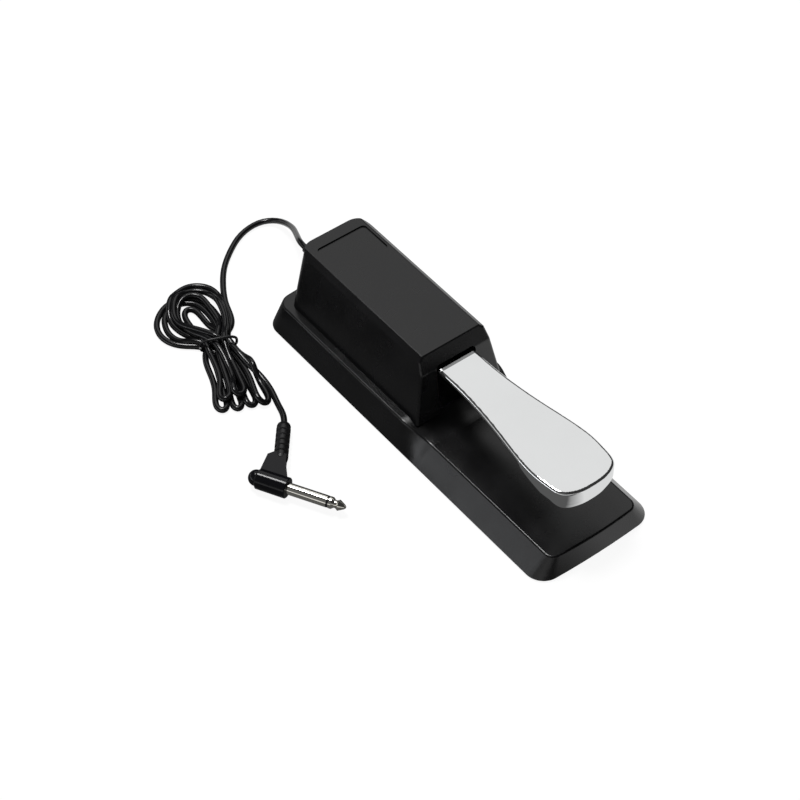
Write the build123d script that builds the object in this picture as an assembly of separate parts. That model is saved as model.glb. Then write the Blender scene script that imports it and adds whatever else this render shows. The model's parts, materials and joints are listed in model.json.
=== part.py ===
from build123d import *
import os
from math import cos, pi, radians, sin, tan

# Piano-style sustain pedal with its signal lead.
# Millimetres. +X to the right, +Y to the rear where the lead leaves, +Z up.
# The origin is the centre of the footprint, on the floor.

# Case
BASE_WIDTH = 75.0
BASE_LENGTH = 231.0            # between the ends of the side edges, the bowed ends stand out further
END_BOW = 1.4                  # how far the front and rear edges bulge
BASE_CORNER = 10.8
SHELL_Z = 1.0                  # lower edge of the case above the floor
WALL = 2.5
FRONT_DECK_Z = 13.0
FRONT_SIDE_INSET = 9.2
FRONT_END_INSET = 2.7
FRONT_CORNER = 5.4
LEDGE_Z = 17.8
LEDGE_INSET = 5.0
LEDGE_CORNER = 8.0
RAMP_REAR_Y = 3.0
RAMP_FRONT_Y = -19.0
TOWER_TOP_Z = 55.2
TOWER_FOOT_HALF = 28.4
TOWER_TOP_HALF = 21.1
TOWER_REAR_Y = 105.2
TOWER_FOOT_Y = -6.4
BROW_Y, BROW_Z = -2.2, 46.4    # where the front face leans back
BROW_R = 3.0
TOWER_TOP_Y = 2.5
ROOF_HALF = 18.6               # level part of the tower's roof, bevels slope off from there
ROOF_SLOPE = 0.84
RIM_R = 1.3                    # rounding of the deck's and the ledge's outer edges
OPENING_HALF = 12.8
OPENING_TOP_Z = 47.6
OPENING_BOTTOM_Z = 16.6

# Pedal
LEVER_TOP_Z = 45.6             # at the opening
LEVER_SLOPE = 0.02             # rise per millimetre towards the toe
PLATE = 2.8
NECK_HALF = 12.0
TOE_Y = -110.1
TOE_HALF = 20.1
TOE_DEPTH = 12.0
TOE_STEP_Z = 39.0
TOE_STEP_INSET = 1.2
PEDAL_EDGE_R = 1.8
PEDAL_EAR_X = 10.4
TAIL_Y = 76.0

# Pivot
PIVOT_Y, PIVOT_Z = 66.0, 38.0
PIN_R = 2.5
PIN_CLEARANCE = 0.05
PIN_HALF = 18.5
EAR_IN, EAR_OUT = 14.0, 16.0   # bracket ears

# Bottom
PLATE_Z0, PLATE_Z1 = 2.0, 3.5
BOSS_PLACES = [(22.0, -98.0), (27.0, 0.0), (27.0, 97.0)]
CASE_SCREW_R = 1.4

# Spring and switch
SPRING_Y = 28.0
SPRING_MEAN_R = 5.7
SPRING_WIRE_R = 0.8
SPRING_Z0, SPRING_Z1 = 5.5, 40.6
SWITCH_Y0, SWITCH_Y1 = 37.0, 57.0
SWITCH_Z0, SWITCH_Z1 = 26.0, 35.6
LEAF_Y, LEAF_Z = 55.0, 36.5
PLUNGER_Y = 50.0

# Lead
CORD_R = 1.7
CORD_EXIT = (0.0, 128.0, 24.5)
HANK_HEIGHT = 10.5
PLUG_R = 3.175
PLUG_LENGTH = 32.2
PLUG_Z = 5.7
PLUG_FLANGE = (-99.9, 8.7)     # centre of the plug's shoulder, seen from above
PLUG_TURN = -61.0              # heading of the plug's shaft
LABEL_X, LABEL_Y = 1.2, 86.8    # plain shallow recess in the tower's roof
LABEL_WIDTH = 32.0
LABEL_LENGTH = 22.0
LABEL_DEPTH = 0.8


def lever_top(y):
    """Height of the pedal's upper face at y."""
    return LEVER_TOP_Z - LEVER_SLOPE * (y + 2.6)


def lever_under(y):
    """Height of the flat plate's lower face at y."""
    return lever_top(y) - PLATE


def outline(side_inset, end_inset, corner, z):
    """Rounded footprint with bowed ends."""
    half = BASE_WIDTH / 2 - side_inset
    end = BASE_LENGTH / 2 - end_inset
    edges = [
        Line((-half, end, z), (-half, -end, z)),
        ThreePointArc((-half, -end, z), (0, -end - END_BOW, z), (half, -end, z)),
        Line((half, -end, z), (half, end, z)),
        ThreePointArc((half, end, z), (0, end + END_BOW, z), (-half, end, z)),
    ]
    face = make_face(edges)
    return fillet(face.vertices(), corner)


def rounded_rect(half, y0, y1, corner, z):
    """Rectangle from y0 to y1 with round corners."""
    face = Pos(0, (y0 + y1) / 2, z) * Rectangle(2 * half, y1 - y0)
    return fillet(face.vertices(), corner)


def span(y0, y1):
    """Block that keeps what lies between y0 and y1."""
    return Pos(0, (y0 + y1) / 2, 40) * Box(200, y1 - y0, 200)


def frustum(low, high):
    return loft([low, high], ruled=True)


def side_profile(points, half):
    """Plate of the given outline in the YZ plane, reaching half to each side."""
    face = make_face(Polyline([(-half, y, z) for y, z in points], close=True))
    return extrude(face, amount=2 * half, dir=(1, 0, 0))


def cross_profile(points):
    """Bar of the given outline in the XZ plane, running along Y."""
    face = make_face(Polyline([(x, -60, z) for x, z in points], close=True))
    return extrude(face, amount=200, dir=(0, 1, 0))


def ramp_block():
    """Stretch where the ledge sinks to the front deck and the side walls lean further in."""
    sections = []
    steps = 6
    for i in range(steps + 1):
        t = i / steps
        blend = t * t * (3 - 2 * t)
        y = RAMP_REAR_Y + t * (RAMP_FRONT_Y - RAMP_REAR_Y)
        top = LEDGE_Z + blend * (FRONT_DECK_Z - LEDGE_Z)
        inset = LEDGE_INSET + blend * (FRONT_SIDE_INSET - LEDGE_INSET)
        half = BASE_WIDTH / 2
        corners = [(-half, y, SHELL_Z), (half, y, SHELL_Z), (half - inset, y, top), (inset - half, y, top)]
        sections.append(make_face(Polyline(corners, close=True)))
    ramp = loft(sections)
    shoulders = [edge for edge in ramp.edges() if edge.center().Z > 12 and edge.length > 15]
    return fillet([edge for edge in shoulders if abs(edge.center().X) > 20], RIM_R)


def base_block():
    foot = outline(0, 0, BASE_CORNER, SHELL_Z)
    front = frustum(foot, outline(FRONT_SIDE_INSET, FRONT_END_INSET, FRONT_CORNER, FRONT_DECK_Z))
    rear = frustum(foot, outline(LEDGE_INSET, LEDGE_INSET, LEDGE_CORNER, LEDGE_Z))
    front = fillet(front.faces().sort_by(Axis.Z)[-1].edges(), RIM_R)
    rear = fillet(rear.faces().sort_by(Axis.Z)[-1].edges(), RIM_R)
    block = front & span(-150, RAMP_FRONT_Y)
    block += ramp_block()
    block += rear & span(RAMP_REAR_Y, 150)
    return block


def front_edges(shape, z):
    """Level edges of the tower's front face at height z."""
    near = [edge for edge in shape.edges() if abs(edge.center().Z - z) < 0.2]
    return [edge for edge in near if abs(edge.center().X) < 1 and edge.center().Y < 6]


def tower_block():
    walls = frustum(
        rounded_rect(TOWER_FOOT_HALF, -40, TOWER_REAR_Y, 6.0, LEDGE_Z - 1),
        rounded_rect(TOWER_TOP_HALF, -40, TOWER_REAR_Y, 8.7, TOWER_TOP_Z),
    )
    lean = (BROW_Y - TOWER_FOOT_Y) / (BROW_Z - LEDGE_Z)
    profile = [
        (TOWER_FOOT_Y - lean, LEDGE_Z - 1),
        (BROW_Y, BROW_Z),
        (TOWER_TOP_Y, TOWER_TOP_Z),
        (120, TOWER_TOP_Z),
        (120, LEDGE_Z - 1),
    ]
    tower = walls & side_profile(profile, 40)
    drop = ROOF_SLOPE * (40 - ROOF_HALF)
    roof = [(-ROOF_HALF, TOWER_TOP_Z), (ROOF_HALF, TOWER_TOP_Z), (40, TOWER_TOP_Z - drop), (40, 10), (-40, 10),
            (-40, TOWER_TOP_Z - drop)]
    tower &= cross_profile(roof)
    tower = fillet(front_edges(tower, BROW_Z), BROW_R)
    tower = fillet(front_edges(tower, TOWER_TOP_Z), 1.0)
    corners = [edge for edge in tower.edges() if edge.center().Y < 6 and abs(edge.center().X) > ROOF_HALF]
    return fillet([edge for edge in corners if edge.center().Z > LEDGE_Z], 1.5)


def base_cavity():
    low = outline(WALL + 0.1, WALL + 0.1, BASE_CORNER - WALL, SHELL_Z - 1)
    front = outline(FRONT_SIDE_INSET + 2.2, FRONT_END_INSET + 2.4, 3.4, FRONT_DECK_Z - WALL)
    rear = outline(LEDGE_INSET + 2.2, LEDGE_INSET + 2.2, 6.0, LEDGE_Z - WALL)
    cavity = frustum(low, front) & span(-150, -3)
    cavity += frustum(low, rear) & span(-3, 150)
    return cavity


def tower_cavity():
    walls = frustum(
        rounded_rect(TOWER_FOOT_HALF - WALL, -40, TOWER_REAR_Y - 2.6, 4.0, LEDGE_Z - WALL - 1),
        rounded_rect(TOWER_TOP_HALF - WALL, -40, TOWER_REAR_Y - 2.6, 6.0, TOWER_TOP_Z - WALL),
    )
    profile = [
        (TOWER_FOOT_Y + WALL, LEDGE_Z - WALL - 1),
        (BROW_Y + WALL, BROW_Z),
        (TOWER_TOP_Y + WALL, TOWER_TOP_Z - WALL),
        (120, TOWER_TOP_Z - WALL),
        (120, LEDGE_Z - WALL - 1),
    ]
    return walls & side_profile(profile, 40)


def boss_places():
    return [(side * x, y) for x, y in BOSS_PLACES for side in (-1, 1)]


def upper_case():
    """One-piece moulding: skirt, front deck, ledge and tower."""
    case = base_block() + tower_block()
    case -= base_cavity()
    case -= tower_cavity()
    height = OPENING_TOP_Z - OPENING_BOTTOM_Z
    opening = Pos(0, -4, OPENING_BOTTOM_Z + height / 2) * Box(2 * OPENING_HALF, 18, height)
    upper = opening.edges().filter_by(Axis.Y).group_by(Axis.Z)[-1]
    case -= fillet(upper, 2.5)
    recess = Pos(LABEL_X, LABEL_Y, TOWER_TOP_Z) * Box(LABEL_WIDTH, LABEL_LENGTH, 2 * LABEL_DEPTH)
    case -= fillet(recess.edges().filter_by(Axis.Z), 2.5)
    case += Pos(0, 16, 50.8) * Box(18, 8, 5.8)
    case -= Pos(0, TOWER_REAR_Y, CORD_EXIT[2]) * Rot(90, 0, 0) * Cylinder(3.6, 12)
    for x, y in boss_places():
        roof = FRONT_DECK_Z if y < RAMP_FRONT_Y else LEDGE_Z
        length = roof - 1.2 - PLATE_Z1
        case += Pos(x, y, PLATE_Z1 + length / 2) * Cylinder(3.2, length)
        case -= Pos(x, y, PLATE_Z1 + 2.9) * Cylinder(CASE_SCREW_R, 5.8)
    return case


BRACKET_SCREWS = [(x, y) for x in (-9, 9) for y in (60, 72)]
SWITCH_SCREW_YS = (41, 50)
SWITCH_BRACKET_SCREWS = [(10.5, y) for y in SWITCH_SCREW_YS]


def bottom_plate():
    """Steel plate that closes the case and carries the mechanism."""
    plate = extrude(outline(5.8, 4.0, BASE_CORNER - 5, PLATE_Z0), PLATE_Z1 - PLATE_Z0)
    for x, y in boss_places():
        plate -= Pos(x, y, PLATE_Z0) * Cylinder(CASE_SCREW_R, 6)
    for x, y in BRACKET_SCREWS:
        plate -= Pos(x, y, PLATE_Z0) * Cylinder(2.0, 6)
    for x, y in SWITCH_BRACKET_SCREWS:
        plate -= Pos(x, y, PLATE_Z0) * Cylinder(1.5, 6)
    return plate


def rubber_pad():
    pad = extrude(outline(7.5, 6.0, BASE_CORNER - 6, 0), PLATE_Z0)
    for x, y in boss_places():
        pad -= Pos(x, y, 1) * Cylinder(4.0, 6)
    return pad


def pan_screw(x, y, head_z, shank_r, head_r, head_h, length, up):
    """Screw on a vertical axis; up is 1 when the shank points up from the head."""
    shank = Pos(x, y, head_z + up * length / 2) * Cylinder(shank_r, length)
    head = Pos(x, y, head_z - up * head_h / 2) * Cylinder(head_r, head_h)
    return shank + head


def case_screws():
    return [pan_screw(x, y, PLATE_Z0, CASE_SCREW_R, 2.9, 1.4, 7.0, 1) for x, y in boss_places()]


def pivot_bracket():
    """U of folded steel whose two ears carry the pedal's pin."""
    bracket = Pos(0, PIVOT_Y, PLATE_Z1 + 1) * Box(2 * EAR_OUT, 24, 2)
    for side in (-1, 1):
        x = side * (EAR_IN + EAR_OUT) / 2
        bracket += Pos(x, PIVOT_Y, (PLATE_Z1 + PIVOT_Z) / 2) * Box(2, 20, PIVOT_Z - PLATE_Z1)
        bracket += Pos(x, PIVOT_Y, PIVOT_Z) * Rot(0, 90, 0) * Cylinder(10, 2)
        bracket -= Pos(x, PIVOT_Y, PIVOT_Z) * Rot(0, 90, 0) * Cylinder(4.0, 4)
    for x, y in BRACKET_SCREWS:
        bracket -= Pos(x, y, PLATE_Z1) * Cylinder(2.0, 8)
    return bracket


def bracket_screws():
    return [pan_screw(x, y, PLATE_Z1 + 2, 2.0, 3.5, 2.2, 3.5, -1) for x, y in BRACKET_SCREWS]


def pivot_bush(side):
    """Flanged nylon bush pressed into a bracket ear."""
    body = Pos(side * (EAR_IN + EAR_OUT) / 2, PIVOT_Y, PIVOT_Z) * Rot(0, 90, 0) * Cylinder(4.0, 2)
    body += Pos(side * (EAR_IN - 0.7), PIVOT_Y, PIVOT_Z) * Rot(0, 90, 0) * Cylinder(5.5, 1.4)
    body -= Pos(side * EAR_IN, PIVOT_Y, PIVOT_Z) * Rot(0, 90, 0) * Cylinder(PIN_R + PIN_CLEARANCE, 8)
    return body


def spring_seat():
    """Seat of the return spring, with the post that stops the pedal."""
    seat = Pos(0, SPRING_Y, PLATE_Z1 + 1) * Cylinder(9, 2)
    seat += Pos(0, SPRING_Y, 17.0) * Cylinder(3.6, 26.0)
    return seat


def lower_stop_pad():
    return Pos(0, SPRING_Y, 31.2) * Cylinder(3.6, 2.4)


def upper_stop_pad():
    return Pos(0, 16, 46.8) * Box(18, 8, 2.2)


def return_spring():
    """Compression spring with its ends standing on the seat and the cap."""
    height = SPRING_Z1 - SPRING_Z0 - 2 * SPRING_WIRE_R
    path = Helix(pitch=height / 8, height=height, radius=SPRING_MEAN_R)
    start = path @ 0
    section = Plane(origin=start, z_dir=path % 0) * Circle(SPRING_WIRE_R)
    return Pos(0, SPRING_Y, SPRING_Z0 + SPRING_WIRE_R) * sweep(section, path=path, is_frenet=True)


def switch_body():
    """Moulded snap-switch case with a bore for its plunger."""
    middle_y = (SWITCH_Y0 + SWITCH_Y1) / 2
    body = Pos(0, middle_y, (SWITCH_Z0 + SWITCH_Z1) / 2)
    body = body * Box(6.4, SWITCH_Y1 - SWITCH_Y0, SWITCH_Z1 - SWITCH_Z0)
    body = chamfer(body.edges().filter_by(Axis.X), 0.6)
    for side in (-1, 1):
        body += Pos(side * 2.95, LEAF_Y, SWITCH_Z1 + 0.6) * Box(0.5, 2.4, 2.4)
    body -= Pos(0, PLUNGER_Y, SWITCH_Z1 - 2) * Cylinder(1.05, 5.2)
    for y in SWITCH_SCREW_YS:
        body -= Pos(0, y, 30) * Rot(0, 90, 0) * Cylinder(1.0, 10)
    return body


def switch_terminals():
    return [Pos(0, y, 23.25) * Box(2.6, 0.5, 5.5) for y in (40, 47, 54)]


def switch_bracket():
    """Angle that holds the switch beside the pedal's centre line."""
    middle_y = 45.2
    bracket = Pos(4.0, middle_y, 19.75) * Box(1.6, 16.4, 32.5)
    bracket += Pos(9.0, middle_y, PLATE_Z1 + 0.8) * Box(8.8, 16.4, 1.6)
    for y in SWITCH_SCREW_YS:
        bracket -= Pos(4.0, y, 30) * Rot(0, 90, 0) * Cylinder(1.0, 6)
    for x, y in SWITCH_BRACKET_SCREWS:
        bracket -= Pos(x, y, PLATE_Z1) * Cylinder(1.5, 8)
    return bracket


def switch_bracket_screws():
    return [pan_screw(x, y, PLATE_Z1 + 1.6, 1.5, 2.5, 1.6, 3.1, -1) for x, y in SWITCH_BRACKET_SCREWS]


def switch_screws():
    screws = []
    for y in SWITCH_SCREW_YS:
        shank = Pos(0.8, y, 30) * Rot(0, 90, 0) * Cylinder(1.0, 8.0)
        head = Pos(-3.8, y, 30) * Rot(0, 90, 0) * Cylinder(1.9, 1.2)
        screws.append(shank + head)
    return screws


def switch_leaf():
    """Spring-steel leaf, hinged at the rear of the switch."""
    leaf = side_profile([(LEAF_Y, 36.5), (LEAF_Y, 36.9), (38.4, 39.0), (38.4, 38.6)], 1.8)
    return leaf + Pos(0, LEAF_Y, LEAF_Z) * Rot(0, 90, 0) * Cylinder(0.6, 4.6)


def switch_plunger():
    return Pos(0, PLUNGER_Y, 34.6) * Cylinder(1.0, 4.2)


def trim_to_pedal(shape):
    """Cut a piece so that its upper face lies against the pedal's underside."""
    return shape - side_profile([(0, lever_under(0)), (60, lever_under(60)), (60, 60), (0, 60)], 20)


def switch_pusher():
    """Nylon block under the pedal that pushes the leaf down."""
    return trim_to_pedal(Pos(0, 40, 41.2) * Box(6, 3, 4.0))


def spring_cap():
    """Cap that centres the spring under the pedal; its peg meets the lower stop."""
    cap = Pos(0, SPRING_Y, SPRING_Z1 + 1.5) * Cylinder(7.0, 3.0)
    return trim_to_pedal(cap) + Pos(0, SPRING_Y, 38.65) * Cylinder(3.9, 4.3)


def toe_edge(side, inset):
    """Edge of the pedal from the neck round to the middle of the toe."""
    points = [
        (NECK_HALF, -2),
        (12.1, -17),
        (12.9, -30),
        (15.3, -50),
        (18.6, -70),
        (TOE_HALF, -87),
        (19.4, -96),
        (16.7, -105.2 + 0.5 * inset),
        (9.6, -109.1 + 0.9 * inset),
        (inset, TOE_Y + inset),
    ]
    placed = [(side * (x - inset), y, 0) for x, y in points]
    return Spline(placed, tangents=[(0, -1, 0), (-side, 0, 0)])


def pedal_outline(z, inset):
    half = NECK_HALF - inset
    tail = [(-half, -2, 0), (-half, TAIL_Y, 0), (half, TAIL_Y, 0), (half, -2, 0)]
    face = make_face([toe_edge(-1, inset), toe_edge(1, inset), Polyline(tail)])
    return Pos(0, 0, z) * face


def pedal_profile():
    """Side view of the pedal: a flat plate with a toe that deepens."""
    def below(y, depth):
        return (0, y, lever_top(y) - depth)
    under = Spline(
        [below(-106, TOE_DEPTH), below(-98, 10.4), below(-88, 6.9), below(-78, 4.3), below(-66, PLATE)],
        tangents=[(0, 1, 0), (0, 1, -LEVER_SLOPE)],
    )
    edges = [
        under,
        Polyline([below(-66, PLATE), below(80, PLATE), below(80, 0), below(-120, 0),
                  below(-120, TOE_DEPTH + 0.3), below(-106, TOE_DEPTH)]),
    ]
    return extrude(Pos(-30, 0, 0) * make_face(edges), amount=60, dir=(1, 0, 0))


def pedal_lever():
    """Chromed pedal with two ears for the pin under its tail."""
    lever = extrude(pedal_outline(TOE_STEP_Z, 0), 12) & pedal_profile()
    top = lever.faces().sort_by(Axis.Z)[-1]
    lever = fillet(top.edges(), PEDAL_EDGE_R)
    lower = extrude(pedal_outline(30, TOE_STEP_INSET), TOE_STEP_Z - 29)
    lever += lower & pedal_profile()
    for side in (-1, 1):
        x = side * PEDAL_EAR_X
        ear = Pos(x, PIVOT_Y, PIVOT_Z) * Rot(0, 90, 0) * Cylinder(6.5, 2)
        ear += Pos(x, PIVOT_Y, PIVOT_Z + 1.8) * Box(2, 13, 3.6)
        lever += ear
        lever -= Pos(x, PIVOT_Y, PIVOT_Z) * Rot(0, 90, 0) * Cylinder(PIN_R, 6)
    return lever


def pivot_pin():
    return Pos(0, PIVOT_Y, PIVOT_Z) * Rot(0, 90, 0) * Cylinder(PIN_R, 2 * PIN_HALF)


def pin_clips():
    clips = []
    for side in (-1, 1):
        clip = Cylinder(4.6, 0.8) - Cylinder(PIN_R, 2) - Pos(4, 0, 0) * Box(6, 3, 2)
        clips.append(Pos(side * (PIN_HALF - 1), PIVOT_Y, PIVOT_Z) * Rot(0, 90, 0) * clip)
    return clips


def tube(points, radius, name):
    """Round tube along straight runs joined by the largest arcs the runs allow."""
    vectors = [Vector(*p) for p in points]
    radii = []
    for before, here, after in zip(vectors, vectors[1:], vectors[2:]):
        one = here - before
        two = after - here
        turn = radians(one.get_angle(two))
        radii.append(0.45 * min(one.length, two.length) / tan(turn / 2))
    path = FilletPolyline(points, radius=radii)
    solid = sweep(Plane(origin=path @ 0, z_dir=path % 0) * Circle(radius), path=path)
    ideal = pi * radius * radius * path.length
    print(name, "length", round(path.length, 1), "volume ratio", round(solid.volume / ideal, 4))
    print("   radii", [round(r, 1) for r in radii])
    return solid


def signal_wire():
    route = [(-0.8, 40, 20.5), (-0.9, 40.6, 14), (-2.2, 48, 9.2), (-2.6, 61, 8.4), (-1.8, 74, 11.5),
             (-1.0, 81, 20.5), (-0.8, 86.5, 24.5), (-0.8, 92, 24.5)]
    return tube(route, 0.6, "signal_wire")


def ground_wire():
    route = [(0.8, 47, 20.5), (0.9, 47.8, 14.5), (1.7, 55, 9.6), (2.3, 65, 8.8), (1.7, 75, 11.7),
             (1.0, 81.4, 20.5), (0.8, 86.5, 24.5), (0.8, 92, 24.5)]
    return tube(route, 0.6, "ground_wire")


def cord_inner():
    return Pos(0, 96.3, CORD_EXIT[2]) * Rot(90, 0, 0) * Cylinder(CORD_R, 8.6)


def cord_ferrule():
    ring = Cylinder(2.6, 3) - Cylinder(CORD_R, 4)
    return Pos(0, 97, CORD_EXIT[2]) * Rot(90, 0, 0) * ring


def cord_gland():
    """Moulded strain relief, gripped in the case's rear wall."""
    rear = TOWER_REAR_Y
    tip = CORD_EXIT[1]
    profile = [(0, 100.6), (5.0, 100.6), (5.0, rear - 2.6), (3.6, rear - 2.6), (3.6, rear), (5.2, rear),
               (5.2, rear + 1.6), (4.3, rear + 2.4)]
    grooves = 4
    pitch = (tip - rear - 6) / grooves
    for i in range(grooves):
        start = rear + 4.2 + i * pitch
        wide = 4.1 - i * 0.35
        profile += [(wide, start), (wide - 0.9, start), (wide - 0.95, start + 1.5), (wide - 0.1, start + 1.5)]
    profile += [(2.55, tip), (0, tip)]
    face = make_face(Polyline([(x, y, 0) for x, y in profile], close=True))
    return Pos(0, 0, CORD_EXIT[2]) * revolve(face, Axis.Y)


RUN_ROUTE = [
    CORD_EXIT,
    (0.0, 133.5, 24.5),
    (5.4, 144.0, 18.6),
    (12.6, 159.0, 10.6),
    (13.6, 174.6, 3.2),
    (4.4, 181.2, 1.9),
    (-9.6, 179.2, 1.8),
    (-22.6, 171.0, 1.7),
    (-33.0, 162.0, 1.8),
    (-41.0, 151.0, 1.7),
    (-46.6, 141.0, 1.8),
]


def cord_run():
    return tube(RUN_ROUTE, CORD_R, "cord_run")


def cord_hank():
    """Outer shape of the tied bundle: a wide fan of loops, a waist, and narrow hanging loops."""
    corners = [
        (-47.6, 140.0), (-47.6, 151.0), (-53.0, 158.2), (-61.0, 160.2), (-70.5, 158.6), (-80.0, 155.4),
        (-87.2, 149.0), (-89.4, 138.0), (-87.6, 127.0), (-82.4, 119.6), (-79.4, 114.0), (-81.6, 106.4),
        (-86.6, 97.2), (-91.2, 88.0), (-94.8, 77.0), (-92.2, 72.8), (-86.0, 69.8), (-79.2, 67.0),
        (-72.6, 64.0), (-69.4, 70.4), (-65.6, 80.0), (-62.2, 90.0), (-60.2, 100.0), (-60.0, 108.4),
        (-56.4, 117.4), (-52.2, 127.4),
    ]
    edge = Spline([(x, y, 0) for x, y in corners], periodic=True)
    hank = extrude(make_face(edge), HANK_HEIGHT)
    return hank - cord_tie() - cord_run() - cord_tail()


TIE_MIDDLE = (-69.7, 113.0)
TIE_TURN = -24.0


def cord_tie():
    """Wire tie round the waist of the hank."""
    outer = Pos(0, 0, 5.9) * Box(23.0, 3.0, 11.4)
    outer = fillet(outer.edges().filter_by(Axis.Y), 3.0)
    inner = Pos(0, 0, 5.9) * Box(20.6, 4.0, 9.0)
    inner = fillet(inner.edges().filter_by(Axis.Y), 2.0)
    return Pos(TIE_MIDDLE[0], TIE_MIDDLE[1], 0) * Rot(0, 0, TIE_TURN) * (outer - inner)


def plug_place(along, across, z=0.0):
    """Point given along the plug's shaft and across it towards the lead."""
    turn = radians(PLUG_TURN)
    x = PLUG_FLANGE[0] + along * cos(turn) - across * sin(turn)
    y = PLUG_FLANGE[1] + along * sin(turn) + across * cos(turn)
    return (x, y, z)


BOOT_START = (-11.4, 15.5)
BOOT_END = (-20.6, 39.2)
BOOT_END_Z = 4.5


def tail_route():
    start = Vector(*plug_place(BOOT_START[0], BOOT_START[1], PLUG_Z))
    end = Vector(*plug_place(BOOT_END[0], BOOT_END[1], BOOT_END_Z))
    lead = (end - start).normalized()
    first = end + lead * 6.0
    return [
        (-65.4, 91.0, 5.2),
        (-64.0, 81.6, 2.8),
        (-65.0, 71.8, 1.8),
        (-68.3, 61.6, 1.9),
        (first.X, first.Y, first.Z),
        (end.X, end.Y, end.Z),
    ]


def cord_tail():
    return tube(tail_route(), CORD_R, "cord_tail")


def along_shaft(solid):
    """Turn a solid made along +X so that it lies on the plug's shaft."""
    return Pos(PLUG_FLANGE[0], PLUG_FLANGE[1], PLUG_Z) * Rot(0, 0, PLUG_TURN) * solid


def turned(points):
    """Solid of revolution about X from (x, r) points."""
    face = make_face(Polyline([(x, r, 0) for x, r in points], close=True))
    return revolve(face, Axis.X)


def plug_body():
    """Right-angle moulding: stout barrel with a ball-shaped end and a flat stem towards the lead."""
    outline_edges = [
        ThreePointArc((-22.15, 0, 0), (-19.6, 3.96, 0), (-17.6, 4.35, 0)),
        Polyline([(-17.6, 4.35, 0), (-16.5, 5.5, 0), (-0.4, 5.6, 0), (0, 5.2, 0), (0, 0, 0), (-22.15, 0, 0)]),
    ]
    body = revolve(make_face(outline_edges), Axis.X)
    corners = [(-16.9, 0), (-18.2, 14.6), (-15.6, 17.6), (-9.2, 18.2), (-7.6, 13.8), (-2.6, 5.0), (-2.6, 0)]
    stem = extrude(make_face(Polyline([(x, y, -3.3) for x, y in corners], close=True)), 6.6)
    body += stem
    return along_shaft(body) - plug_boot()


def plug_boot():
    """Ribbed flexible sleeve where the lead enters the plug."""
    start = Vector(*plug_place(BOOT_START[0], BOOT_START[1], PLUG_Z))
    end = Vector(*plug_place(BOOT_END[0], BOOT_END[1], BOOT_END_Z))
    length = (end - start).length
    ribs = 6
    pitch = (length - 3) / ribs
    profile = [(0, 0), (0, 3.5)]
    for i in range(ribs):
        x = 1.5 + i * pitch
        profile += [(x, 3.8), (x + pitch * 0.55, 3.8), (x + pitch * 0.65, 3.2), (x + pitch * 0.9, 3.2)]
    profile += [(length - 1.4, 3.7), (length - 0.5, 3.4), (length, 2.6), (length, 0)]
    solid = turned(profile)
    heading = (end - start).normalized()
    side = Vector(0, 0, 1).cross(heading).normalized()
    plane = Plane(origin=start, x_dir=heading, z_dir=heading.cross(side))
    return plane.location * solid


def plug_sleeve():
    return along_shaft(turned([(0, 0), (0, PLUG_R), (22.0, PLUG_R), (22.0, 0)]))


def plug_insulator():
    return along_shaft(turned([(22.0, 0), (22.0, 3.05), (23.2, 3.05), (23.2, 0)]))


def plug_tip():
    tip = [(23.2, 0), (23.2, PLUG_R), (24.6, PLUG_R), (26.0, 2.1), (26.9, 2.1), (28.3, 2.95), (31.4, 1.3),
           (PLUG_LENGTH, 0.5), (PLUG_LENGTH, 0)]
    return along_shaft(turned(tip))


def write(name, shape):
    pieces = shape if isinstance(shape, list) else [shape]
    solids = [solid for piece in pieces for solid in piece.solids()]
    whole = solids[0] if len(solids) == 1 else Compound(children=solids)
    whole.label = name
    export_step(whole, "parts/" + name + ".step")


PARTS = {
    "upper_case": upper_case,
    "bottom_plate": bottom_plate,
    "rubber_pad": rubber_pad,
    "case_screws": case_screws,
    "pivot_bracket": pivot_bracket,
    "bracket_screws": bracket_screws,
    "pivot_bush_left": lambda: pivot_bush(-1),
    "pivot_bush_right": lambda: pivot_bush(1),
    "spring_seat": spring_seat,
    "lower_stop_pad": lower_stop_pad,
    "upper_stop_pad": upper_stop_pad,
    "return_spring": return_spring,
    "switch_body": switch_body,
    "switch_terminals": switch_terminals,
    "switch_bracket": switch_bracket,
    "switch_bracket_screws": switch_bracket_screws,
    "switch_screws": switch_screws,
    "switch_leaf": switch_leaf,
    "switch_plunger": switch_plunger,
    "switch_pusher": switch_pusher,
    "spring_cap": spring_cap,
    "pedal_lever": pedal_lever,
    "pivot_pin": pivot_pin,
    "pin_clips": pin_clips,
    "signal_wire": signal_wire,
    "ground_wire": ground_wire,
    "cord_inner": cord_inner,
    "cord_ferrule": cord_ferrule,
    "cord_gland": cord_gland,
    "cord_run": cord_run,
    "cord_hank": cord_hank,
    "cord_tie": cord_tie,
    "cord_tail": cord_tail,
    "plug_boot": plug_boot,
    "plug_body": plug_body,
    "plug_sleeve": plug_sleeve,
    "plug_insulator": plug_insulator,
    "plug_tip": plug_tip,
}

os.makedirs("parts", exist_ok=True)
for part_name, make in PARTS.items():
    write(part_name, make())
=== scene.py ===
"""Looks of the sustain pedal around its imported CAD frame.

Places are in the CAD's own axes, and in metres unless a comment says otherwise.
"""

import json
import math

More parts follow.
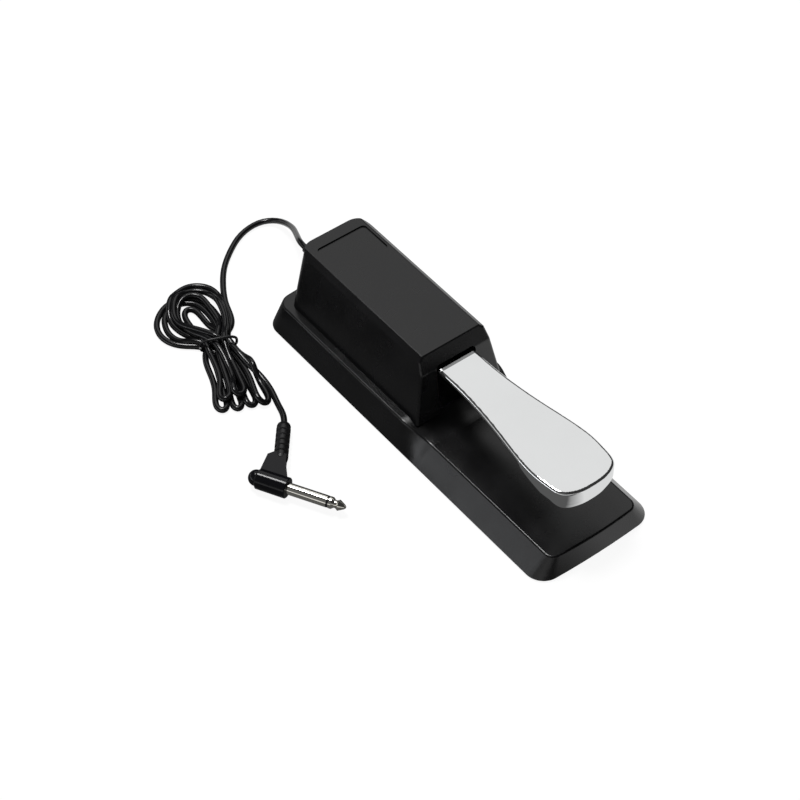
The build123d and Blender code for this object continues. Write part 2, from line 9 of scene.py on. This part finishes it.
import bpy
import numpy as np
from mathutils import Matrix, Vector


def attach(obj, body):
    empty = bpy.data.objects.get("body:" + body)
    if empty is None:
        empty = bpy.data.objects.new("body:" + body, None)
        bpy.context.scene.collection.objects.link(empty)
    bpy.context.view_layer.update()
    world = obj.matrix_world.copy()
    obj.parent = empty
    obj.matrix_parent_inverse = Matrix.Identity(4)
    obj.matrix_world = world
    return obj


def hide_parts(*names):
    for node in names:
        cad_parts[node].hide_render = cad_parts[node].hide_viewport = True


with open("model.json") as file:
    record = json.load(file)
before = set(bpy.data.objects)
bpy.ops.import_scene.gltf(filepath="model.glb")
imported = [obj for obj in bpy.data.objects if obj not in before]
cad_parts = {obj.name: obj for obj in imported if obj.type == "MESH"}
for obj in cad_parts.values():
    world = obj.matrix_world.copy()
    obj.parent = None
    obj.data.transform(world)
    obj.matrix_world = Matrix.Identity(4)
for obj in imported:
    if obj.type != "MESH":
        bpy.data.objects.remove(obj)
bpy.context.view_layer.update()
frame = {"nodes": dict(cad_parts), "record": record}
nodes = frame["nodes"]

MM = 0.001

# ---------------------------------------------------------------- camera

CAMERA_AZIMUTH = math.radians(-37.9)
CAMERA_ELEVATION = math.radians(47.82)
CAMERA_DISTANCE = 1.22945
CAMERA_LENS = 105.33
CAMERA_AIM = Vector((-0.01805, 0.02125, 0.00614))


def make_camera():
    """Camera that looks at CAMERA_AIM from the front left, above."""
    level = math.cos(CAMERA_ELEVATION)
    back = Vector((
        math.sin(CAMERA_AZIMUTH) * level,
        -math.cos(CAMERA_AZIMUTH) * level,
        math.sin(CAMERA_ELEVATION),
    ))
    data = bpy.data.cameras.new("camera")
    data.lens = CAMERA_LENS
    data.sensor_width = 36
    data.clip_start = 0.01
    data.clip_end = 20
    camera = bpy.data.objects.new("camera", data)
    camera.location = CAMERA_AIM + back * CAMERA_DISTANCE
    camera.rotation_mode = "QUATERNION"
    camera.rotation_quaternion = (-back).to_track_quat("-Z", "Y")
    bpy.context.collection.objects.link(camera)
    bpy.context.scene.camera = camera


make_camera()

# ---------------------------------------------------------------- node helpers

# The Mix node has sockets for every data type. These are its numbers for colours.
MIX_SHARE = 0
MIX_COLOUR_A = 6
MIX_COLOUR_B = 7
MIX_COLOUR_OUT = 2


class Nodes:
    """Short names for building a material's node tree."""

    def __init__(self, tree):
        self.tree = tree

    def add(self, kind, **sockets):
        """New node with the named inputs linked or set."""
        node = self.tree.nodes.new(kind)
        for name, value in sockets.items():
            self.put(node, name, value)
        return node

    def put(self, node, socket, value):
        """Link or set an input, which is given by its name or its number."""
        if isinstance(value, bpy.types.NodeSocket):
            self.tree.links.new(value, node.inputs[socket])
        else:
            node.inputs[socket].default_value = value

    def noise(self, where, scale, detail=2.0, rough=0.5):
        node = self.add("ShaderNodeTexNoise", Vector=where, Scale=scale, Detail=detail, Roughness=rough)
        return node.outputs["Fac"]

    def spread(self, value, low, high, out_low=0.0, out_high=1.0):
        """The value, mapped from one range to another."""
        node = self.add("ShaderNodeMapRange", Value=value)
        limits = {"From Min": low, "From Max": high, "To Min": out_low, "To Max": out_high}
        for socket, limit in limits.items():
            self.put(node, socket, limit)
        return node.outputs["Result"]

    def math(self, kind, one, two):
        node = self.add("ShaderNodeMath")
        node.operation = kind
        self.put(node, 0, one)
        self.put(node, 1, two)
        return node.outputs[0]

    def mix(self, share, one, two):
        node = self.add("ShaderNodeMix")
        node.data_type = "RGBA"
        self.put(node, MIX_SHARE, share)
        self.put(node, MIX_COLOUR_A, one)
        self.put(node, MIX_COLOUR_B, two)
        return node.outputs[MIX_COLOUR_OUT]


def rgb(r, g, b):
    return (r, g, b, 1.0)


def shade(colour, share):
    """The colour made darker or lighter."""
    return rgb(*(part * share for part in colour))


def material(name, metallic=0.0, specular=0.5):
    """New material: its helper, its shader node and the object coordinates."""
    made = bpy.data.materials.new(name)
    made.use_nodes = True
    helper = Nodes(made.node_tree)
    shader = made.node_tree.nodes["Principled BSDF"]
    shader.inputs["Metallic"].default_value = metallic
    shader.inputs["Specular IOR Level"].default_value = specular
    where = helper.add("ShaderNodeTexCoord").outputs["Object"]
    return made, helper, shader, where


def lines_along_y(n, where, stretch, scale, detail):
    """Noise drawn out into fine lines along Y."""
    stretched = n.add("ShaderNodeMapping", Vector=where)
    stretched.inputs["Scale"].default_value = (1.0, stretch, 1.0)
    return n.noise(stretched.outputs["Vector"], scale, detail)


def bump(helper, shader, height, strength, distance):
    node = helper.add("ShaderNodeBump", Height=height, Strength=strength, Distance=distance)
    helper.put(shader, "Normal", node.outputs["Normal"])


def moulded(name, colour, rough_low, rough_high, grain=1500.0, grain_depth=0.00004, grain_strength=0.25,
            specular=0.5):
    """Injection-moulded plastic: fine spark-eroded grain and cloudy gloss."""
    made, n, shader, where = material(name, specular=specular)
    cloud = n.noise(where, 45.0, 3.0)
    fine = n.noise(where, grain, 2.0, 0.6)
    n.put(shader, "Base Color", n.mix(n.spread(cloud, 0.35, 0.65), shade(colour, 0.85), shade(colour, 1.2)))
    n.put(shader, "Roughness", n.spread(cloud, 0.3, 0.7, rough_low, rough_high))
    bump(n, shader, fine, grain_strength, grain_depth)
    return made


def plated(name, colour, rough_low, rough_high, scratch=0.05):
    """Polished plated metal with faint polishing lines and handling smears."""
    made, n, shader, where = material(name, metallic=1.0)
    smear = n.noise(where, 30.0, 4.0, 0.55)
    lines = lines_along_y(n, where, 0.05, 1400.0, 2.0)
    n.put(shader, "Roughness", n.spread(smear, 0.35, 0.7, rough_low, rough_high))
    n.put(shader, "Base Color", n.mix(n.spread(smear, 0.3, 0.7), rgb(*colour), shade(colour, 0.97)))
    bump(n, shader, lines, scratch, 0.00001)
    return made


def rubbery(name, colour, rough):
    """Soft rubber or felt-like surface: matte, with a coarse speckle."""
    made, n, shader, where = material(name, specular=0.35)
    speckle = n.noise(where, 900.0, 3.0, 0.7)
    n.put(shader, "Base Color", n.mix(n.spread(speckle, 0.3, 0.7), shade(colour, 0.7), shade(colour, 1.5)))
    n.put(shader, "Roughness", n.spread(speckle, 0.3, 0.7, rough - 0.08, rough + 0.08))
    bump(n, shader, speckle, 0.4, 0.00015)
    return made


def rolled_steel(name, colour):
    """Zinc-plated sheet with rolling lines and a faint spangle."""
    made, n, shader, where = material(name, metallic=1.0)
    spangle = n.add("ShaderNodeTexVoronoi", Vector=where, Scale=260.0).outputs["Color"]
    lines = lines_along_y(n, where, 0.04, 900.0, 3.0)
    grey = n.add("ShaderNodeRGBToBW", Color=spangle).outputs["Val"]
    n.put(shader, "Base Color", n.mix(n.spread(grey, 0.0, 1.0), shade(colour, 0.8), rgb(*colour)))
    n.put(shader, "Roughness", n.spread(lines, 0.3, 0.7, 0.28, 0.46))
    bump(n, shader, lines, 0.2, 0.00003)
    return made


CASE_BLACK = (0.0042, 0.0042, 0.0047)
SHARP_EDGE = math.radians(36)  # faces that meet at more than this keep a hard edge

MATERIALS = {
    "case_plastic": moulded("case_plastic", CASE_BLACK, 0.22, 0.30),
    "zinc_steel": rolled_steel("zinc_steel", (0.62, 0.63, 0.64)),
    "pad_rubber": rubbery("pad_rubber", (0.02, 0.02, 0.02), 0.8),
    "screw_steel": plated("screw_steel", (0.58, 0.59, 0.61), 0.2, 0.34, scratch=0.3),
    "nylon": moulded("nylon", (0.72, 0.71, 0.65), 0.35, 0.5),
    "stop_rubber": rubbery("stop_rubber", (0.03, 0.03, 0.03), 0.7),
    "felt": rubbery("felt", (0.22, 0.03, 0.03), 0.9),
    "spring_steel": plated("spring_steel", (0.5, 0.5, 0.5), 0.22, 0.35, scratch=0.3),
    "switch_plastic": moulded("switch_plastic", (0.03, 0.03, 0.035), 0.2, 0.3),
    "brass": plated("brass", (0.75, 0.55, 0.25), 0.2, 0.35, scratch=0.2),
    "plunger_red": moulded("plunger_red", (0.5, 0.03, 0.02), 0.2, 0.3),
    "pedal_chrome": plated("pedal_chrome", (0.87, 0.88, 0.88), 0.02, 0.05, scratch=0.006),
    "wire_red": moulded("wire_red", (0.45, 0.02, 0.02), 0.25, 0.35),
    "wire_black": moulded("wire_black", (0.02, 0.02, 0.02), 0.25, 0.35),
    "cord_pvc": moulded("cord_pvc", (0.006, 0.006, 0.007), 0.14, 0.22, grain=700.0, grain_strength=0.12),
    "gland_rubber": moulded("gland_rubber", (0.009, 0.009, 0.010), 0.34, 0.46, grain=900.0,
                            grain_depth=0.00006, grain_strength=0.3),
    "tie_plastic": moulded("tie_plastic", (0.012, 0.012, 0.013), 0.25, 0.35, grain=700.0),
    "plug_pvc": moulded("plug_pvc", (0.005, 0.005, 0.007), 0.12, 0.18, grain=900.0, grain_strength=0.1,
                        specular=0.3),
    "insulator_black": moulded("insulator_black", (0.01, 0.01, 0.01), 0.25, 0.35),
    "nickel": plated("nickel", (0.90, 0.88, 0.81), 0.06, 0.12, scratch=0.04),
}


def dress_cad_nodes():
    """Each CAD node gets its slot's material and smooth shading between its sharp edges."""
    slots = {part["node"]: part["material_slot"] for part in frame["record"]["subparts"]}
    for name, node in nodes.items():
        mesh = node.data
        mesh.materials.clear()
        mesh.materials.append(MATERIALS[slots[name]])
        mesh.polygons.foreach_set("use_smooth", [True] * len(mesh.polygons))
        mesh.set_sharp_from_angle(angle=SHARP_EDGE)
        level = node.modifiers.new("flat_faces_stay_flat", "WEIGHTED_NORMAL")
        level.mode = "FACE_AREA"
        level.keep_sharp = True


dress_cad_nodes()

# ---------------------------------------------------------------- the lead

CORD_RADIUS = 1.7
TIE_WIRE_RADIUS = 0.75
HANK_SPACING = 3.4  # between the hank's control points
RUN_ROUTE = [
    (0.0, 128.0, 24.5),
    (0.0, 133.5, 24.5),
    (5.4, 144.0, 18.6),
    (12.6, 159.0, 10.6),
    (13.6, 174.6, 3.2),
    (4.4, 181.2, 1.9),
    (-9.6, 179.2, 1.8),
    (-22.6, 171.0, 1.7),
    (-33.0, 162.0, 1.8),
    (-41.0, 151.0, 1.7),
    (-46.6, 141.0, 1.8),
]
TAIL_ROUTE = [
    (-65.4, 91.0, 5.2),
    (-64.0, 81.6, 2.8),
    (-65.0, 71.8, 1.8),
    (-68.3, 61.6, 1.9),
    (-71.77, 50.33, 4.22),
    (-75.6, 45.72, 4.5),
]

# The hank. Each turn goes down through the tie, round a lower loop, up through the tie and round an
# upper loop.
TIE_LEFT = np.array([-77.6, 117.0])
TIE_RIGHT = np.array([-61.8, 110.0])
TIE_MIDDLE = (TIE_LEFT + TIE_RIGHT) / 2
ALONG_TIE = (TIE_RIGHT - TIE_LEFT) / np.linalg.norm(TIE_RIGHT - TIE_LEFT)
ACROSS_TIE = np.array([-ALONG_TIE[1], ALONG_TIE[0]])
WAIST_HALF_WIDTH = 8.2    # the tie holds the strands' centres within this
WAIST_HALF_LENGTH = 5.0   # over this much of the hank on each side of the tie
WAIST_TOP = 9.0
HANK_TOP = 9.6
FIRST_TURN_Z = 2.0
TURN_RISE = 1.25          # each turn lies this much above the one before
FOLD_RISE = 0.3           # a turn's fold lies this much above its way down
UP_RISE = 0.8             # and its way up and upper loop this much
# The end of a lower loop, as places sideways and back from its tip.
FOLD = [(-3.4, 5.4), (-3.3, 2.2), (0.0, -0.8), (3.3, 2.2), (3.4, 5.4)]

# Each turn: its places across the tie on the way down and up, its lower loop's left, tip and right, and the
# points of its upper loop.
TURNS = [
    (0.04, 0.34, [(-86.6, 93.5), (-93.6, 75.2), (-85.3, 88.0)],
     [(-59.5, 124.0), (-55.5, 139.0), (-57.5, 152.0), (-72.0, 158.4), (-86.8, 149.0), (-88.4, 133.0)]),
    (0.26, 0.54, [(-79.2, 92.5), (-86.6, 71.4), (-77.8, 86.5)],
     [(-61.5, 126.0), (-59.0, 139.0), (-61.0, 151.0), (-70.5, 155.5), (-81.8, 148.5), (-84.6, 133.0)]),
    (0.46, 0.76, [(-73.0, 92.0), (-79.7, 68.4), (-71.5, 86.0)],
     [(-56.0, 124.0), (-48.6, 140.0), (-46.8, 154.6), (-57.6, 163.6), (-71.5, 157.6), (-79.8, 141.0)]),
    (0.62, 0.96, [(-68.4, 91.0), (-73.4, 65.2), (-65.0, 89.0)],
     [(-64.2, 126.0), (-63.6, 137.0), (-63.0, 146.4), (-66.8, 149.6), (-71.0, 145.0), (-73.0, 131.0)]),
    (0.14, 0.44, [(-83.0, 93.0), (-89.8, 79.0), (-81.5, 88.0)],
     [(-60.0, 126.0), (-57.0, 140.0), (-56.4, 151.4), (-64.4, 155.6), (-72.8, 150.4), (-76.6, 135.0)]),
    (0.36, 0.66, [(-76.0, 92.0), (-82.4, 76.0), (-74.8, 87.5)],
     [(-57.4, 124.0), (-51.0, 140.0), (-49.8, 152.5), (-59.0, 160.2), (-70.5, 155.6), (-77.6, 139.0)]),
]

# How the hank settles.
FULL_STEPS = 260
HELD_POINTS = 2                       # at each end
NEIGHBOURS = 5                        # points this near along the lead don't push each other
PUSH_XYZ = np.array([0.6, 0.6, 1.4])  # strands part more easily upwards than sideways
PUSH_SHARE = 0.6                      # of the overlap, in one step
LONGEST_MOVE = 0.5                    # in one step
PULL_TO_PLAN = 0.10                   # share of the way back to the plan, in one step
SINK = 0.06                           # in one step
WAIST_SQUEEZE = 0.5                   # share of what sticks out of the waist, in one step
STIFFNESS = 0.10                      # share of the way to the neighbours' middle, in one step
LENGTH_FIXES = 2                      # in one step
LENGTH_SHARE = 0.25                   # of a length error, taken up by each end in one fix
LAST_SMOOTHING = 0.2


def through_curve(points, spacing):
    """Evenly spaced points on the smooth line (Catmull-Rom) through the given ones."""
    p = np.array(points, float)
    p = np.vstack([2 * p[0] - p[1], p, 2 * p[-1] - p[-2]])
    shares = np.linspace(0, 1, 16, endpoint=False)
    fine = []
    for a, b, c, d in zip(p, p[1:], p[2:], p[3:]):
        for t in shares:
            fine.append(0.5 * (2 * b + (c - a) * t + (2 * a - 5 * b + 4 * c - d) * t**2
                               + (3 * b - a - 3 * c + d) * t**3))
    fine = np.array(fine + [p[-2]])
    along = np.concatenate([[0], np.cumsum(np.linalg.norm(np.diff(fine, axis=0), axis=1))])
    at = np.linspace(0, along[-1], int(along[-1] / spacing) + 1)
    return np.stack([np.interp(at, along, fine[:, k]) for k in range(3)], axis=1)


def hank_plan():
    """The whole winding as listed corners, each turn a little above the one before."""
    corners = []
    for i, (down_share, up_share, lower, upper) in enumerate(TURNS):
        z = FIRST_TURN_Z + TURN_RISE * i
        left, tip, right = (np.array(c) for c in lower)
        down = TIE_LEFT + (TIE_RIGHT - TIE_LEFT) * down_share
        up = TIE_LEFT + (TIE_RIGHT - TIE_LEFT) * up_share
        heading = (tip - (left + right) / 2) / np.linalg.norm(tip - (left + right) / 2)
        side = np.array([-heading[1], heading[0]])
        corners += [(*down, z), (*left, z)]
        corners += [(*(tip + side * out - heading * back), z + FOLD_RISE) for out, back in FOLD]
        corners += [(*point, z + UP_RISE) for point in (right, up, *upper)]
    return corners


def settle(line, steps, gap, held):
    """Push the turns some way apart, squeezed where the tie holds them. The first and last points are held.

    Strands still overlap in places when it ends, most of all under the tie.
    """
    rest = line.copy()
    index = np.arange(len(line))
    apart = np.abs(index[:, None] - index[None, :]) > NEIGHBOURS
    segment = np.linalg.norm(np.diff(rest, axis=0), axis=1)[:, None]
    for _ in range(steps):
        delta = line[:, None, :] - line[None, :, :]
        distance = np.sqrt((delta**2).sum(2)) + 1e-9
        close = apart & (distance < gap)
        push = np.where(close, (gap - distance) / distance, 0.0)
        weight = np.maximum(close.sum(1), 1)[:, None]
        move = (push[:, :, None] * delta * PUSH_XYZ).sum(1) / weight * PUSH_SHARE
        line = line + np.clip(move, -LONGEST_MOVE, LONGEST_MOVE)
        line[:, :2] += (rest[:, :2] - line[:, :2]) * PULL_TO_PLAN
        line[:, 2] -= SINK
        flat = line[:, :2] - TIE_MIDDLE
        near_tie = np.abs(flat @ ACROSS_TIE) < WAIST_HALF_LENGTH
        out = flat @ ALONG_TIE
        excess = np.clip(np.abs(out) - WAIST_HALF_WIDTH, 0, None) * np.sign(out)
        line[near_tie, :2] -= WAIST_SQUEEZE * excess[near_tie, None] * ALONG_TIE
        line[near_tie, 2] = np.minimum(line[near_tie, 2], WAIST_TOP)
        inner = (line[:-2] + line[2:]) / 2
        line[1:-1] += (inner - line[1:-1]) * STIFFNESS
        for _ in range(LENGTH_FIXES):
            span = np.diff(line, axis=0)
            length = np.linalg.norm(span, axis=1)[:, None]
            fix = span * (1 - segment / length) * LENGTH_SHARE
            line[:-1] += fix
            line[1:] -= fix
        line[:, 2] = np.clip(line[:, 2], CORD_RADIUS, HANK_TOP)
        line[:held] = rest[:held]
        line[-held:] = rest[-held:]
    line[1:-1] += (line[:-2] + line[2:] - 2 * line[1:-1]) * LAST_SMOOTHING
    return line


def cord_points():
    """Control points of the whole lead: the run as listed, the hank's settled turns, the tail as listed."""
    entry = [(-49.5, 134.5, 1.8), (-56.0, 122.0, 1.9)]
    leave = [(-66.5, 112.0, 8.6), (-66.0, 100.5, 7.2)]
    line = through_curve([RUN_ROUTE[-1], *entry, *hank_plan(), *leave, TAIL_ROUTE[0]], HANK_SPACING)
    line = settle(line, FULL_STEPS, 2 * CORD_RADIUS, HELD_POINTS)
    return [*RUN_ROUTE, *line[HELD_POINTS:-HELD_POINTS].tolist(), *TAIL_ROUTE]


def nurbs(name, points, radius):
    """Open NURBS tube along the control points, which are in millimetres like the radius."""
    data = bpy.data.curves.new(name, "CURVE")
    data.dimensions = "3D"
    spline = data.splines.new("NURBS")
    spline.points.add(len(points) - 1)
    for spot, place in zip(spline.points, points):
        spot.co = (place[0] * MM, place[1] * MM, place[2] * MM, 1)
    spline.order_u = 3
    spline.use_endpoint_u = True
    spline.resolution_u = 4
    data.bevel_depth = radius * MM
    data.bevel_resolution = 5
    data.use_fill_caps = True
    made = bpy.data.objects.new(name, data)
    bpy.context.collection.objects.link(made)
    return made


lead = nurbs("signal_lead", cord_points(), CORD_RADIUS)
lead.data.materials.append(MATERIALS["cord_pvc"])
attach(lead, "housing")
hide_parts("cord_run", "cord_hank", "cord_tail")


def squared(value, power):
    """A sine or cosine bent towards a square wave, which makes a circle boxier."""
    return math.copysign(abs(value) ** power, value)


def tie_loop():
    """Coated wire wound round the waist a little more than once. Its ends pass each other at the left."""
    half_width, half_height, lowest = 10.0, 5.4, 0.6
    steps_per_turn, overlap = 24, 3
    count = steps_per_turn + overlap
    points = []
    for i in range(count):
        turn = 2 * math.pi * i / steps_per_turn + math.pi
        out = half_width * squared(math.cos(turn), 0.6)
        up = lowest + half_height + half_height * squared(math.sin(turn), 0.7)
        slip = -1.6 * math.sin(turn) + 0.35 * (i - count // 2) / 6
        place = TIE_MIDDLE + ALONG_TIE * out + ACROSS_TIE * slip
        points.append((*place, up))
    return points


tie = nurbs("twist_tie", tie_loop(), TIE_WIRE_RADIUS)
tie.data.materials.append(MATERIALS["tie_plastic"])
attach(tie, "housing")
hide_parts("cord_tie")

# ---------------------------------------------------------------- floor and light


def make_floor():
    """Large pale floor: even to the camera, and darker on the left in what the object mirrors."""
    mesh = bpy.data.meshes.new("floor")
    half = 4.0
    corners = [(-half, -half, 0), (half, -half, 0), (half, half, 0), (-half, half, 0)]
    mesh.from_pydata(corners, [], [(0, 1, 2, 3)])
    floor = bpy.data.objects.new("floor", mesh)
    bpy.context.collection.objects.link(floor)
    made = bpy.data.materials.new("floor")
    made.use_nodes = True
    n = Nodes(made.node_tree)
    made.node_tree.nodes.remove(made.node_tree.nodes["Principled BSDF"])
    is_camera = n.add("ShaderNodeLightPath").outputs["Is Camera Ray"]
    where = n.add("ShaderNodeTexCoord").outputs["Object"]
    where_x = n.add("ShaderNodeSeparateXYZ", Vector=where).outputs["X"]
    diffuse = n.add("ShaderNodeBsdfDiffuse", Color=rgb(0.18, 0.18, 0.18)).outputs["BSDF"]
    glow = n.add("ShaderNodeEmission", Color=rgb(1, 1, 1), Strength=0.92).outputs["Emission"]
    shown = n.add("ShaderNodeAddShader")
    n.put(shown, 0, diffuse)
    n.put(shown, 1, glow)
    brightness = n.spread(where_x, -0.03, 0.01, 0.10, 0.78)
    mirrored = n.add("ShaderNodeEmission", Color=rgb(1, 1, 1), Strength=brightness).outputs["Emission"]
    choice = n.add("ShaderNodeMixShader", Fac=is_camera)
    n.put(choice, 1, mirrored)
    n.put(choice, 2, shown.outputs[0])
    out = made.node_tree.nodes["Material Output"]
    made.node_tree.links.new(choice.outputs[0], out.inputs["Surface"])
    mesh.materials.append(made)


SOFTBOX_DIRECTION = (0.372, 0.478, 0.796)
SOFTBOX_RIM = (0.89, 0.925)  # cosines of the angles at which it begins and is at its full strength
SOFTBOX_STRENGTH = 0.84


def make_world():
    """Dark room with one big round softbox, high at the right rear, and a pale glow low on the left."""
    world = bpy.data.worlds.new("world")
    world.use_nodes = True
    bpy.context.scene.world = world
    n = Nodes(world.node_tree)
    where = n.add("ShaderNodeTexCoord").outputs["Generated"]
    toward = n.add("ShaderNodeVectorMath")
    toward.operation = "DOT_PRODUCT"
    n.put(toward, 0, where)
    toward.inputs[1].default_value = SOFTBOX_DIRECTION
    softbox = n.spread(toward.outputs["Value"], *SOFTBOX_RIM)
    split = n.add("ShaderNodeSeparateXYZ", Vector=where)
    low = n.spread(split.outputs["Z"], 0.20, 0.30, 1.0, 0.0)
    left = n.spread(split.outputs["X"], 0.10, -0.30)
    glow = n.math("MULTIPLY", low, left)
    share = n.math("MAXIMUM", softbox, glow)
    base = n.spread(split.outputs["X"], -0.20, -0.60, 0.035, 0.12)
    strength = n.math("MAXIMUM", base, n.math("MULTIPLY", share, SOFTBOX_STRENGTH))
    background = world.node_tree.nodes["Background"]
    n.put(background, "Color", rgb(1.0, 1.0, 1.0))
    n.put(background, "Strength", strength)


def area_light(name, place, aim, size, power, colour=(1, 1, 1)):
    """Rectangular light at a place, turned towards its aim."""
    data = bpy.data.lights.new(name, "AREA")
    data.shape = "RECTANGLE"
    data.size, data.size_y = size
    data.energy = power
    data.color = colour
    light = bpy.data.objects.new(name, data)
    light.location = place
    light.rotation_mode = "QUATERNION"
    light.rotation_quaternion = (Vector(aim) - Vector(place)).to_track_quat("-Z", "Y")
    bpy.context.collection.objects.link(light)


make_floor()
make_world()
area_light("key", (-0.08, 0.42, 1.33), (0, 0, 0), (0.32, 0.32), 8)
area_light("strip_left", (-1.2, 0.4, 0.16), (0, 0, 0.02), (0.9, 0.24), 0.9, (0.92, 0.95, 1.0))

bpy.context.scene.view_settings.view_transform = "Standard"
bpy.context.scene.view_settings.look = "None"
